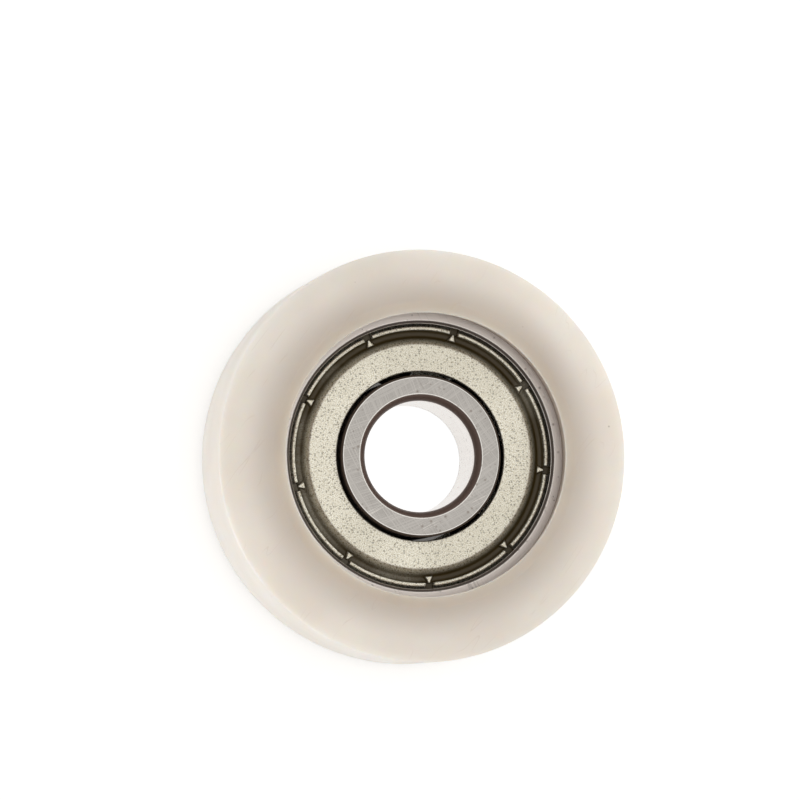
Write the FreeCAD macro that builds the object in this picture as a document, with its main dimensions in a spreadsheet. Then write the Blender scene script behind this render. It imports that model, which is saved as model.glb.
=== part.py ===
import FreeCAD, Part
import Sketcher
import math
import os

# A nylon roller wheel moulded round a metal shielded deep groove ball bearing.
# The wheel's axis is Z, its middle plane is the XY plane, and lengths are millimetres.
# The bearing can turn inside: its inner ring stays on the axle, the balls roll in their cage,
# and the outer ring, both shields and the nylon turn together.

os.makedirs("parts", exist_ok=True)

SIZES = [
    ("wheel_diameter", 29.7, "tread of the nylon wheel"),
    ("tread_width", 8.4, "from rim edge to rim edge"),
    ("hub_width", 11.0, "over the two flat lands at the hub"),
    ("hub_lip", 0.75, "nylon's reach over the end of the outer ring"),
    ("hub_land_width", 0.75, "flat ring that the wheel lies on, before its edge is rounded"),
    ("hub_edge_radius", 0.25, "rounding where the land meets the hole"),
    ("rim_edge_radius", 0.2, "rounding where the side face meets the tread"),
    ("side_face_radius", 15.0, "crown of the side face, in section"),
    ("mould_gap", 0.01, "between the nylon and the ring that it is moulded round"),
    ("pitch_diameter", 15.0, "circle of the balls' centres, which the bearing is laid out from"),
    ("bearing_width", 7.0, "both rings"),
    ("outer_ring_reach", 3.5, "from the balls' circle to the bearing's outside, 22 mm across"),
    ("bore_reach", 3.5, "from the balls' circle in to the bore, 8 mm across"),
    ("bore_corner_depth", 0.47, "rounding of the bore's mouth, across the face"),
    ("bore_corner_length", 0.8, "rounding of the bore's mouth, along the axis"),
    ("bore_corner_radius", 1.2, "curve of that rounding"),
    ("inner_shoulder_drop", 1.65, "from the balls' circle to the inner ring's outside"),
    ("inner_corner_radius", 0.175, "outer corner of the inner ring's face"),
    ("outer_shoulder_rise", 1.7, "from the balls' circle to the outer ring's inside"),
    ("mouth_share", 0.21, "opening for the shield, as a share of the outer ring's wall"),
    ("groove_share", 0.305, "groove that the shield snaps into, as a share of that wall"),
    ("mouth_bevel_share", 0.12, "bevel round the opening, as a share of that wall"),
    ("ring_corner_share", 0.22, "outside corner of the outer ring, as a share of that wall"),
    ("mouth_land", 0.2, "straight stretch behind the bevel"),
    ("groove_lip_height", 0.15, "sloped wall that holds the shield in"),
    ("ball_diameter", 3.969, "five thirty-seconds of an inch"),
    ("ball_count", 7, "balls, cage pockets and rivets"),
    ("ball_clearance", 0.02, "between a ball and the bottom of each raceway"),
    ("raceway_ratio", 0.52, "raceway radius over ball diameter"),
    ("shield_thickness", 0.25, "steel sheet"),
    ("shield_gap", 0.25, "between the inner ring and the shield's hole"),
    ("shield_recess", 0.3, "shield's flat below the ring's face"),
    ("shield_edge_radius", 0.12, "rounding of the shield's hole"),
    ("shield_slope", 48.0, "degrees, of the step below the flat"),
    ("shield_inside_bend", 0.1, "inside radius where the flat turns down"),
    ("shield_step_depth", 0.6, "from the flat down to the valley"),
    ("valley_bend", 0.25, "inside radius between the step and the valley"),
    ("valley_floor", 0.07, "flat bottom of the valley"),
    ("lip_bend", 0.25, "inside radius between the valley and the lip"),
    ("lip_gap", 0.2, "between the lip and the ring's opening"),
    ("lip_height", 0.6, "hemmed lip above the valley"),
    ("skirt_height", 0.35, "hem's outer edge, above the seat"),
    ("rim_clearance", 0.05, "between the hem and the bottom of its groove"),
    ("crimp_count", 9, "notches where the hem is crimped"),
    ("crimp_width", 0.5, "each notch"),
    ("crimp_reach", 0.05, "notch inboard of the lip"),
    ("fold_length", 0.42, "fold inboard of the lip"),
    ("fold_reach", 0.1, "fold's tip within the notch"),
    ("fold_width", 0.55, "fold at its wide inner end"),
    ("fold_tip_width", 0.15, "fold at its tip"),
    ("fold_height", 0.3, "fold's top above the valley"),
    ("front_crimp_angle", 34.0, "first notch of the front shield, from X"),
    ("rear_crimp_angle", 14.0, "first notch of the rear shield, from X"),
    ("cage_width", 1.25, "ribbon, across"),
    ("cage_thickness", 0.3, "ribbon sheet"),
    ("pocket_clearance", 0.06, "between a ball and its pocket"),
    ("rivet_diameter", 0.6, "shank"),
    ("rivet_clearance", 0.02, "round the shank"),
    ("rivet_head_diameter", 1.0, "both heads"),
    ("rivet_head_height", 0.22, "both heads"),
]

# Places that several pieces share, worked out from the sizes above.
FACE = "Sizes.bearing_width / 2"
WHEEL_RADIUS = "Sizes.wheel_diameter / 2"
HUB_END = "Sizes.hub_width / 2"
RIM_END = "Sizes.tread_width / 2"
PITCH_RADIUS = "Sizes.pitch_diameter / 2"
BEARING_RADIUS = f"({PITCH_RADIUS} + Sizes.outer_ring_reach)"
BORE_RADIUS = f"({PITCH_RADIUS} - Sizes.bore_reach)"
HOLE_RADIUS = f"{BEARING_RADIUS} - Sizes.hub_lip"
INNER_SHOULDER = f"{PITCH_RADIUS} - Sizes.inner_shoulder_drop"
OUTER_SHOULDER = f"{PITCH_RADIUS} + Sizes.outer_shoulder_rise"
OUTER_WALL = f"({BEARING_RADIUS} - ({OUTER_SHOULDER}))"
MOUTH_RADIUS = f"{OUTER_SHOULDER} + Sizes.mouth_share * {OUTER_WALL}"
MOUTH_BEVEL = f"Sizes.mouth_bevel_share * {OUTER_WALL}"
GROOVE_RADIUS = f"{OUTER_SHOULDER} + Sizes.groove_share * {OUTER_WALL}"
RING_CORNER = f"Sizes.ring_corner_share * {OUTER_WALL}"
RACE_RADIUS = "Sizes.raceway_ratio * Sizes.ball_diameter"
BALL_REACH = "(Sizes.ball_diameter / 2 + Sizes.ball_clearance)"
INNER_RACE_BOTTOM = f"{PITCH_RADIUS} - {BALL_REACH}"
OUTER_RACE_BOTTOM = f"{PITCH_RADIUS} + {BALL_REACH}"
INNER_RACE_EDGE = f"sqrt(({RACE_RADIUS}) ^ 2 - ({INNER_RACE_BOTTOM} + {RACE_RADIUS} - ({INNER_SHOULDER})) ^ 2)"
OUTER_RACE_EDGE = f"sqrt(({RACE_RADIUS}) ^ 2 - ({OUTER_SHOULDER} - ({OUTER_RACE_BOTTOM}) + {RACE_RADIUS}) ^ 2)"
SHIELD_TOP = f"{FACE} - Sizes.shield_recess"
VALLEY_TOP = f"{SHIELD_TOP} - Sizes.shield_step_depth"
SHIELD_SEAT = f"{VALLEY_TOP} - Sizes.shield_thickness"
SHIELD_HOLE = f"{INNER_SHOULDER} + Sizes.shield_gap"
LIP_OUTSIDE = f"{MOUTH_RADIUS} - Sizes.lip_gap"
LIP_INSIDE = f"{LIP_OUTSIDE} - Sizes.shield_thickness"
LIP_TOP = f"{VALLEY_TOP} + Sizes.lip_height"
SHIELD_RIM = f"{GROOVE_RADIUS} - Sizes.rim_clearance"

CONVEX = 1
CONCAVE = -1
HORIZONTAL_AXIS = -1
NOTCH_MARGIN = 1.0


def add_sizes(doc):
    """Puts the driving sizes in the document's sheet, each with its name and what it measures."""
    sheet = doc.addObject("Spreadsheet::Sheet", "Sizes")
    for row, (alias, size, meaning) in enumerate(SIZES, start=1):
        sheet.set(f"A{row}", alias)
        sheet.set(f"B{row}", str(size))
        sheet.set(f"C{row}", meaning)
        sheet.setAlias(f"B{row}", alias)
    doc.recompute()
    return sheet


def origin_feature(body, role):
    """Gives the body's own origin plane or axis with this role."""
    return [feature for feature in body.Origin.OriginFeatures if feature.Role == role][0]


def add_body(doc, label):
    body = doc.addObject("PartDesign::Body", label)
    body.Label = label
    return body


def add_sketch(body, name, plane):
    """Adds a sketch on one of the body's own origin planes."""
    sketch = body.newObject("Sketcher::SketchObject", name)
    sketch.AttachmentSupport = [(origin_feature(body, plane), "")]
    sketch.MapMode = "FlatFace"
    return sketch


def arc_between(start, end, radius, side):
    """Gives the arc from start to end, shorter than half a circle, that bulges out of the solid or into it."""
    chord = end - start
    half = chord.Length / 2
    height = math.sqrt(max(radius ** 2 - half ** 2, 0))
    to_left = FreeCAD.Vector(-chord.y, chord.x, 0).normalize()
    centre = (start + end) / 2 + to_left * (side * height)
    first, last = (start, end) if side == CONVEX else (end, start)
    angles = [math.atan2(place.y - centre.y, place.x - centre.x) for place in (first, last)]
    circle = Part.Circle(centre, FreeCAD.Vector(0, 0, 1), radius)
    return Part.ArcOfCircle(circle, angles[0], angles[1])


def draw_outline(body, name, corners, plane="XZ_Plane"):
    """Draws a closed outline anticlockwise. Each corner is two expressions for its place, and where an arc
    leads to it, also the arc's radius and whether it bulges out of the solid (CONVEX) or into it (CONCAVE)."""
    sketch = add_sketch(body, name, plane)
    places = [
        FreeCAD.Vector(body.evalExpression(corner[0]), body.evalExpression(corner[1]), 0) for corner in corners
    ]
    ends = []
    for index, corner in enumerate(corners):
        start, end = places[index - 1], places[index]
        if len(corner) == 2:
            edge = sketch.addGeometry(Part.LineSegment(start, end))
            ends.append((edge, 1, 2))
            continue
        radius, side = corner[2:]
        edge = sketch.addGeometry(arc_between(start, end, body.evalExpression(radius), side))
        ends.append((edge, 1, 2) if side == CONVEX else (edge, 2, 1))
        bind(sketch, Sketcher.Constraint("Radius", edge, body.evalExpression(radius)), radius)
    for index, (edge, first, last) in enumerate(ends):
        next_edge, next_first, _ = ends[(index + 1) % len(ends)]
        sketch.addConstraint(Sketcher.Constraint("Coincident", edge, last, next_edge, next_first))
        across, up = corners[index][:2]
        bind(sketch, Sketcher.Constraint("DistanceX", edge, last, places[index].x), across)
        if up == "0":
            sketch.addConstraint(Sketcher.Constraint("PointOnObject", edge, last, HORIZONTAL_AXIS))
        else:
            bind(sketch, Sketcher.Constraint("DistanceY", edge, last, places[index].y), up)
    return sketch


def bind(sketch, constraint, expression):
    """Adds a constraint whose value follows an expression on the sheet."""
    index = sketch.addConstraint(constraint)
    sketch.setExpression(f"Constraints[{index}]", expression)


def revolve(body, name, sketch, axis="V_Axis"):
    feature = body.newObject("PartDesign::Revolution", name)
    feature.Profile = sketch
    feature.ReferenceAxis = (sketch, [axis])
    feature.Angle = 360
    return feature


def mirror_below(body, feature):
    """Repeats the upper half of a ring below its middle plane."""
    mirrored = body.newObject("PartDesign::Mirrored", "lower_half")
    mirrored.Originals = [feature]
    mirrored.MirrorPlane = (origin_feature(body, "XY_Plane"), [""])
    body.Tip = mirrored
    return mirrored


def round_edges(body, name, base, edge_radius, edge_height, rounding):
    """Rounds the two circular edges of a ring that have this radius and lie this far from its middle plane."""
    body.Document.recompute()
    radius, height = body.evalExpression(edge_radius), body.evalExpression(edge_height)
    edges = []
    for index, edge in enumerate(base.Shape.Edges, start=1):
        if not isinstance(edge.Curve, Part.Circle):
            continue
        if math.isclose(edge.Curve.Radius, radius) and math.isclose(abs(edge.Curve.Center.z), height):
            edges.append(f"Edge{index}")
    fillet = body.newObject("PartDesign::Fillet", name)
    fillet.Base = (base, edges)
    fillet.setExpression("Radius", rounding)
    body.Tip = fillet
    return fillet


def repeat_round(body, name, features, count):
    """Repeats features round the axis, as many times as the sheet says."""
    pattern = body.newObject("PartDesign::PolarPattern", name)
    pattern.Originals = features
    pattern.Axis = (origin_feature(body, "Z_Axis"), [""])
    pattern.Angle = 360
    pattern.Occurrences = int(body.evalExpression(count))
    pattern.setExpression("Occurrences", count)
    body.Tip = pattern
    return pattern


def turn(item, angle, flipped=False):
    """Turns a piece about the wheel's axis, and over onto the other side if flipped."""
    over = FreeCAD.Rotation(FreeCAD.Vector(1, 0, 0), 180 if flipped else 0)
    about_axis = FreeCAD.Rotation(FreeCAD.Vector(0, 0, 1), item.evalExpression(angle))
    item.Placement = FreeCAD.Placement(FreeCAD.Vector(0, 0, 0), about_axis * over)


def make_nylon_wheel(doc):
    """The wheel: plain tread, crowned side faces, a flat land at the hub and lips over the bearing's ends."""
    body = add_body(doc, "nylon_wheel")
    socket = f"{BEARING_RADIUS} + Sizes.mould_gap"
    corner_start = f"{FACE} - {RING_CORNER}"
    lip_face = f"{FACE} + Sizes.mould_gap"
    section = draw_outline(body, "wheel_section", [
        (WHEEL_RADIUS, "0"),
        (WHEEL_RADIUS, RIM_END),
        (f"{HOLE_RADIUS} + Sizes.hub_land_width", HUB_END, "Sizes.side_face_radius", CONVEX),
        (HOLE_RADIUS, HUB_END),
        (HOLE_RADIUS, lip_face),
        (f"{BEARING_RADIUS} - {RING_CORNER}", lip_face),
        (socket, corner_start, f"{RING_CORNER} + Sizes.mould_gap", CONCAVE),
        (socket, "0"),
    ])
    wheel = mirror_below(body, revolve(body, "upper_half", section))
    rounded = round_edges(body, "rim_rounding", wheel, WHEEL_RADIUS, RIM_END, "Sizes.rim_edge_radius")
    round_edges(body, "hole_rounding", rounded, HOLE_RADIUS, HUB_END, "Sizes.hub_edge_radius")
    return body


def make_outer_ring(doc):
    """The ring inside the nylon: raceway, shoulders, and at each end a seat and a snap groove for the shield."""
    body = add_body(doc, "outer_ring")
    groove_top = f"{FACE} - {MOUTH_BEVEL} - Sizes.mouth_land"
    section = draw_outline(body, "ring_section", [
        (BEARING_RADIUS, "0"),
        (BEARING_RADIUS, f"{FACE} - {RING_CORNER}"),
        (f"{BEARING_RADIUS} - {RING_CORNER}", FACE, RING_CORNER, CONVEX),
        (f"{MOUTH_RADIUS} + {MOUTH_BEVEL}", FACE),
        (MOUTH_RADIUS, f"{FACE} - {MOUTH_BEVEL}"),
        (MOUTH_RADIUS, groove_top),
        (GROOVE_RADIUS, f"{groove_top} - Sizes.groove_lip_height"),
        (GROOVE_RADIUS, SHIELD_SEAT),
        (OUTER_SHOULDER, SHIELD_SEAT),
        (OUTER_SHOULDER, OUTER_RACE_EDGE),
        (OUTER_RACE_BOTTOM, "0", RACE_RADIUS, CONCAVE),
    ])
    mirror_below(body, revolve(body, "upper_half", section))
    return body


def make_inner_ring(doc):
    """The ring on the axle: bore with rounded mouths, flat ends, shoulders and raceway."""
    body = add_body(doc, "inner_ring")
    section = draw_outline(body, "ring_section", [
        (INNER_RACE_BOTTOM, "0"),
        (INNER_SHOULDER, INNER_RACE_EDGE, RACE_RADIUS, CONCAVE),
        (INNER_SHOULDER, f"{FACE} - Sizes.inner_corner_radius"),
        (f"{INNER_SHOULDER} - Sizes.inner_corner_radius", FACE, "Sizes.inner_corner_radius", CONVEX),
        (f"{BORE_RADIUS} + Sizes.bore_corner_depth", FACE),
        (BORE_RADIUS, f"{FACE} - Sizes.bore_corner_length", "Sizes.bore_corner_radius", CONVEX),
        (BORE_RADIUS, "0"),
    ])
    mirror_below(body, revolve(body, "upper_half", section))
    return body


def make_shield(doc, label, angle, flipped):
    """A pressed steel shield: flat round the inner ring, a step down to a valley, and a hemmed rim that is
    crimped into the outer ring's groove. Each crimp is a notch in the hem with a small fold inboard of it."""
    body = add_body(doc, label)
    half_sheet = "Sizes.shield_thickness / 2"
    across, down = "sin(Sizes.shield_slope)", "(1 - cos(Sizes.shield_slope))"
    flat_back = f"{SHIELD_TOP} - Sizes.shield_thickness"
    outer_bend = "(Sizes.shield_inside_bend + Sizes.shield_thickness)"
    outer_valley = "(Sizes.valley_bend + Sizes.shield_thickness)"
    slope_drop = f"(Sizes.shield_step_depth - ({outer_bend} + Sizes.valley_bend) * {down})"
    slope_run = f"{slope_drop} / tan(Sizes.shield_slope)"
    valley_start = f"{LIP_INSIDE} - Sizes.lip_bend - Sizes.valley_floor"
    slope_start = f"{valley_start} - Sizes.valley_bend * {across} - {slope_run}"
    flat_end = f"{slope_start} - {outer_bend} * {across}"
    lip_middle = f"{LIP_INSIDE} + {half_sheet}"
    lip_shoulder = f"{LIP_TOP} - {half_sheet}"
    skirt_top = f"{SHIELD_SEAT} + Sizes.skirt_height"
    section = draw_outline(body, "shield_section", [
        (SHIELD_HOLE, flat_back),
        (flat_end, flat_back),
        (f"{flat_end} + Sizes.shield_inside_bend * {across}",
         f"{flat_back} - Sizes.shield_inside_bend * {down}", "Sizes.shield_inside_bend", CONCAVE),
        (f"{valley_start} - {outer_valley} * {across}",
         f"{SHIELD_SEAT} + {outer_valley} * {down}"),
        (valley_start, SHIELD_SEAT, outer_valley, CONVEX),
        (SHIELD_RIM, SHIELD_SEAT),
        (SHIELD_RIM, skirt_top),
        (LIP_OUTSIDE, lip_shoulder),
        (lip_middle, LIP_TOP, half_sheet, CONVEX),
        (LIP_INSIDE, lip_shoulder, half_sheet, CONVEX),
        (LIP_INSIDE, f"{VALLEY_TOP} + Sizes.lip_bend"),
        (f"{LIP_INSIDE} - Sizes.lip_bend", VALLEY_TOP, "Sizes.lip_bend", CONCAVE),
        (valley_start, VALLEY_TOP),
        (f"{valley_start} - Sizes.valley_bend * {across}",
         f"{VALLEY_TOP} + Sizes.valley_bend * {down}", "Sizes.valley_bend", CONCAVE),
        (slope_start, f"{SHIELD_TOP} - {outer_bend} * {down}"),
        (flat_end, SHIELD_TOP, outer_bend, CONVEX),
        (f"{SHIELD_HOLE} + Sizes.shield_edge_radius", SHIELD_TOP),
        (SHIELD_HOLE, f"{SHIELD_TOP} - Sizes.shield_edge_radius", "Sizes.shield_edge_radius", CONVEX),
    ])
    pressing = revolve(body, "pressing", section)
    half_notch, notch_start = "Sizes.crimp_width / 2", f"{LIP_INSIDE} - Sizes.crimp_reach"
    notch_end = f"{SHIELD_RIM} + {NOTCH_MARGIN}"
    notch_outline = draw_outline(body, "notch_outline", [
        (notch_start, f"-{half_notch}"),
        (notch_end, f"-{half_notch}"),
        (notch_end, half_notch),
        (notch_start, half_notch),
    ], plane="XY_Plane")
    notch = body.newObject("PartDesign::Pocket", "notch")
    notch.Profile = notch_outline
    notch.Type = "ThroughAll"
    notch.Reversed = True
    doc.recompute()
    if not notch.Shape.Volume < pressing.Shape.Volume:
        raise RuntimeError(f"{label}: the notch cuts nothing")
    half_fold, half_tip = "Sizes.fold_width / 2", "Sizes.fold_tip_width / 2"
    fold_start = f"{LIP_INSIDE} - Sizes.fold_length"
    fold_end = f"{LIP_INSIDE} + Sizes.fold_reach"
    fold_outline = draw_outline(body, "fold_outline", [
        (fold_start, f"-{half_fold}"),
        (fold_end, f"-{half_tip}"),
        (fold_end, half_tip),
        (fold_start, half_fold),
    ], plane="XY_Plane")
    fold_outline.setExpression("AttachmentOffset.Base.z", f"{VALLEY_TOP} - {half_sheet}")
    fold = body.newObject("PartDesign::Pad", "fold")
    fold.Profile = fold_outline
    fold.setExpression("Length", f"{half_sheet} + Sizes.fold_height")
    repeat_round(body, "crimps", [notch, fold], "Sizes.crimp_count")
    turn(body, angle, flipped)
    return body


def add_cylinder(doc, name, radius, height, start="0"):
    cylinder = doc.addObject("Part::Cylinder", name)
    cylinder.setExpression("Radius", radius)
    cylinder.setExpression("Height", height)
    cylinder.setExpression("Placement.Base.z", start)
    return cylinder


def place_round(item, radius, step):
    """Puts a piece on a circle round the axis, a number of ball spacings on from X."""
    angle = f"{step} * 360 / Sizes.ball_count"
    item.setExpression("Placement.Base.x", f"{radius} * cos({angle})")
    item.setExpression("Placement.Base.y", f"{radius} * sin({angle})")


def add_sphere(doc, name, radius, step):
    """Adds a whole ball, or a ball-shaped tool, at one of the balls' places."""
    sphere = doc.addObject("Part::Sphere", name)
    sphere.setExpression("Radius", radius)
    place_round(sphere, PITCH_RADIUS, step)
    return sphere


def make_cage_half(doc, label, flipped):
    """Half of the pressed ribbon cage: flat webs that meet the other half, and a cupped pocket over each ball."""
    steps = range(int(doc.Sizes.ball_count))
    cup_radius = "Sizes.ball_diameter / 2 + Sizes.pocket_clearance"
    dome_radius = f"{cup_radius} + Sizes.cage_thickness"
    outside = add_cylinder(doc, f"{label}_outside", f"{PITCH_RADIUS} + Sizes.cage_width / 2", dome_radius)
    inside = add_cylinder(doc, f"{label}_inside", f"{PITCH_RADIUS} - Sizes.cage_width / 2", dome_radius)
    band = doc.addObject("Part::Cut", f"{label}_band")
    band.Base = outside
    band.Tool = inside
    sheet_radius = f"{PITCH_RADIUS} + Sizes.cage_width"
    web = add_cylinder(doc, f"{label}_web", sheet_radius, "Sizes.cage_thickness")
    domes = [add_sphere(doc, f"{label}_dome_{step + 1}", dome_radius, step) for step in steps]
    sheet = doc.addObject("Part::MultiFuse", f"{label}_sheet")
    sheet.Shapes = [web] + domes
    ribbon = doc.addObject("Part::Common", f"{label}_ribbon")
    ribbon.Base = band
    ribbon.Tool = sheet
    cups = [add_sphere(doc, f"{label}_cup_{step + 1}", cup_radius, step) for step in steps]
    holes = []
    for step in steps:
        hole_radius = "Sizes.rivet_diameter / 2 + Sizes.rivet_clearance"
        hole = add_cylinder(doc, f"{label}_hole_{step + 1}", hole_radius, "Sizes.cage_thickness")
        place_round(hole, PITCH_RADIUS, step + 0.5)
        holes.append(hole)
    tools = doc.addObject("Part::MultiFuse", f"{label}_tools")
    tools.Shapes = cups + holes
    half = doc.addObject("Part::Cut", label)
    half.Base = ribbon
    half.Tool = tools
    half.Label = label
    turn(half, "0", flipped)
    return half


def make_cage_rivets(doc):
    """The rivets between the balls, with a domed head on each half of the cage."""
    body = add_body(doc, "cage_rivets")
    web = "Sizes.cage_thickness"
    head_end = f"{web} + Sizes.rivet_head_height"
    head_edge = f"{PITCH_RADIUS} + Sizes.rivet_head_diameter / 2"
    shank = f"{PITCH_RADIUS} + Sizes.rivet_diameter / 2"
    dome = "((Sizes.rivet_head_diameter / 2) ^ 2 + Sizes.rivet_head_height ^ 2) / (2 * Sizes.rivet_head_height)"
    section = draw_outline(body, "rivet_section", [
        (PITCH_RADIUS, f"-({head_end})"),
        (head_edge, f"-{web}", dome, CONVEX),
        (shank, f"-{web}"),
        (shank, web),
        (head_edge, web),
        (PITCH_RADIUS, head_end, dome, CONVEX),
    ])
    middle = body.evalExpression(PITCH_RADIUS)
    axis = Part.LineSegment(FreeCAD.Vector(middle, -1, 0), FreeCAD.Vector(middle, 1, 0))
    line = sketch_axis(section, axis)
    bind(section, Sketcher.Constraint("DistanceX", line, 1, middle), PITCH_RADIUS)
    rivet = revolve(body, "rivet", section, axis="Axis0")
    repeat_round(body, "rivets", [rivet], "Sizes.ball_count")
    turn(body, "180 / Sizes.ball_count")
    return body


def sketch_axis(sketch, segment):
    """Adds an upright construction line of fixed length, for a turned piece off the wheel's axis."""
    line = sketch.addGeometry(segment, True)
    sketch.addConstraint(Sketcher.Constraint("Symmetric", line, 1, line, 2, HORIZONTAL_AXIS))
    sketch.addConstraint(Sketcher.Constraint("Distance", line, segment.length()))
    return line


def make_balls(doc):
    """The balls, evenly spaced round the pitch circle, the first on X."""
    balls = []
    for step in range(int(doc.Sizes.ball_count)):
        ball = add_sphere(doc, f"ball_{step + 1}", "Sizes.ball_diameter / 2", step)
        ball.Label = f"ball_{step + 1}"
        balls.append(ball)
    return balls


def write_parts(doc, pieces):
    """Checks every feature and every piece, then writes one STEP file for each piece."""
    doc.recompute()
    for item in doc.Objects:
        if "Invalid" in item.State or "Error" in item.State:
            raise RuntimeError(f"{item.Label} failed: {item.State}")
    for piece in pieces:
        shape = piece.Shape
        if shape.isNull() or not shape.isValid() or shape.Volume <= 0:
            raise RuntimeError(f"{piece.Label} has no valid shape")
    for piece in pieces:
        piece.Shape.exportStep(f"parts/{piece.Label}.step")
        print(piece.Label, len(piece.Shape.Solids), "solids", round(piece.Shape.Volume, 3), "mm3")


def build():
    doc = FreeCAD.newDocument("nylon_roller_wheel")
    add_sizes(doc)
    pieces = [
        make_nylon_wheel(doc),
        make_outer_ring(doc),
        make_inner_ring(doc),
        make_shield(doc, "front_shield", "Sizes.front_crimp_angle", flipped=False),
        make_shield(doc, "rear_shield", "Sizes.rear_crimp_angle", flipped=True),
        make_cage_half(doc, "cage_front_half", flipped=False),
        make_cage_half(doc, "cage_rear_half", flipped=True),
        make_cage_rivets(doc),
    ]
    pieces += make_balls(doc)
    write_parts(doc, pieces)


build()
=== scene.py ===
import bpy
import bmesh
import math
from mathutils import Matrix, Vector


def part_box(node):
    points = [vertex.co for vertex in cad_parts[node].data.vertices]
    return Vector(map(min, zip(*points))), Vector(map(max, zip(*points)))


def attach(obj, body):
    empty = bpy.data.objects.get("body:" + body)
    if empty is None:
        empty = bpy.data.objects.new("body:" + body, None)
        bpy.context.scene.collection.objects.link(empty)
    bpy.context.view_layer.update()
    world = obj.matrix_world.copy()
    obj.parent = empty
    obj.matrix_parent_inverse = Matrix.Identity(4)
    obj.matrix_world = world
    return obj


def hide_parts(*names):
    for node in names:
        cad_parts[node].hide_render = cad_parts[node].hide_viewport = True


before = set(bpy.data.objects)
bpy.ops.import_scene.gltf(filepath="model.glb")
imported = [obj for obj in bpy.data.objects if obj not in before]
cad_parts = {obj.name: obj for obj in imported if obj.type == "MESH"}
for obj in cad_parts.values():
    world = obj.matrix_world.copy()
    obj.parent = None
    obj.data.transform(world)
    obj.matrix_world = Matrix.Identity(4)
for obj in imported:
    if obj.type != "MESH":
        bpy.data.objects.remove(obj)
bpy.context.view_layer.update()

MM = 0.001

# Sizes in millimetres. The wheel's axis is Z and its middle plane is z = 0.
WHEEL_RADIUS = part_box("nylon_wheel")[1][0] / MM
HUB_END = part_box("nylon_wheel")[1][2] / MM
BEARING_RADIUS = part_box("outer_ring")[1][0] / MM
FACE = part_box("outer_ring")[1][2] / MM
INNER_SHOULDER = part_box("inner_ring")[1][0] / MM
SHIELD_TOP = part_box("front_shield")[1][2] / MM

# The moulded wheel. The hub's hole narrows a little from its foot to its top.
RIM_END = 4.2
RIM_EDGE = 0.2
CROWN_RADIUS = 15.0
HUB_LIP = 0.75
HUB_LAND = 0.75
LAND_EDGE = 0.3
HOLE_RADIUS = BEARING_RADIUS - HUB_LIP
HOLE_TOP = HOLE_RADIUS - 0.08
HOLE_TOP_EDGE = 0.08
HOLE_FOOT = HOLE_RADIUS + 0.11
HOLE_FOOT_EDGE = 0.03
MOULD_GAP = 0.01

# The bearing's rings and balls
RING_CORNER = 0.396
MOUTH_RADIUS = 9.578
MOUTH_BEVEL = 0.216
MOUTH_LAND = 0.2
GROOVE_RADIUS = 9.749
GROOVE_LIP = 0.15
OUTER_SHOULDER = 9.2
INNER_CORNER = 0.175
BORE_RADIUS = 4.0
BORE_MOUTH_WIDTH = 0.47
BORE_MOUTH_DEPTH = 0.8
BORE_MOUTH_ARC = 1.2
PITCH_RADIUS = 7.5
BALL_RADIUS = 1.9845
BALL_CLEARANCE = 0.02
RACE_RADIUS = 0.52 * 2 * BALL_RADIUS
BALLS = 7

# The shields, with a slot through the lip and a fold inboard of it at each crimp
SHEET = 0.25
SHIELD_HOLE = INNER_SHOULDER + 0.25
SHIELD_RIM = 9.699
VALLEY_TOP = SHIELD_TOP - 0.6
LIP_INSIDE = 9.128
LIP_OUTSIDE = LIP_INSIDE + SHEET
CRIMPS = 9
FRONT_CRIMP_ANGLE = 34.0
REAR_CRIMP_ANGLE = 14.0
SLOT_FLOOR = VALLEY_TOP + 0.02
SLOT_HALF_WIDTH = 0.25
SLOT_WALL_END = 0.33
LIP_DIP = 0.06
LIP_DIP_START = 0.15
LIP_DIP_END = 1.2
FOLD_HALF_WIDTH = 0.36
FOLD_NARROWING = 0.27
FOLD_TOP = VALLEY_TOP + 0.33
FOLD_START = 8.66
FOLD_END = 9.16
FOLD_ZONE = (8.5, 9.2)
FOLD_RISE = (8.6, 8.7)
FOLD_FALL = (9.1, 9.18)
LIP_START = (9.08, 9.16)

# Copies of a sector, and doubled points of one mesh, are joined where they are nearer than this.
JOIN_DISTANCE = 0.0005
DOUBLES_DISTANCE = 0.0001

# Colours of the finishes, from 0 to 255
NYLON_WHITE = (243, 237, 230)
NYLON_SHADE_BY_HUB = (202, 192, 181)
NYLON_CLOUD = (226, 217, 206)
NYLON_SCRATCH = (205, 190, 176)
NYLON_SPECK = (120, 100, 84)
HUB_GRIME_AND_SHADE = (128, 108, 93)
RING_LINE_DARK = (200, 195, 190)
RING_LINE_BRIGHT = (226, 220, 214)
INNER_FACE_PAINTED_SHADE = (150, 147, 143)
OUTER_FACE_PAINTED_LIGHT = (255, 245, 240)
GROUND_ARC = (238, 234, 229)
EDGE_GLINT = (250, 247, 243)
LIGHT_SCRATCH = (236, 231, 224)
DARK_SCRATCH = (112, 105, 98)
OIL_SPECK = (96, 80, 66)
BROWN_SCALE = (98, 80, 72)
CORNER_PAINTED_SHADE = (88, 75, 65)
DARK_MOUTH = (74, 64, 58)
SHEET_GRAIN_DARK = (210, 202, 180)
SHEET_GRAIN_BRIGHT = (253, 251, 241)
SHEET_CLOUD = (150, 141, 118)
SHEET_PIT = (86, 77, 58)
VALLEY_OIL_AND_SHADE = (62, 48, 8)
CAGE_DARK = (150, 146, 140)
CAGE_BRIGHT = (190, 185, 178)
RIVET_DARK = (128, 124, 118)
RIVET_BRIGHT = (172, 167, 160)
BALL_DARK = (205, 204, 202)
BALL_BRIGHT = (225, 224, 222)
FLOOR_PALE = (196, 194, 191)


# Outlines and turned meshes

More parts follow.
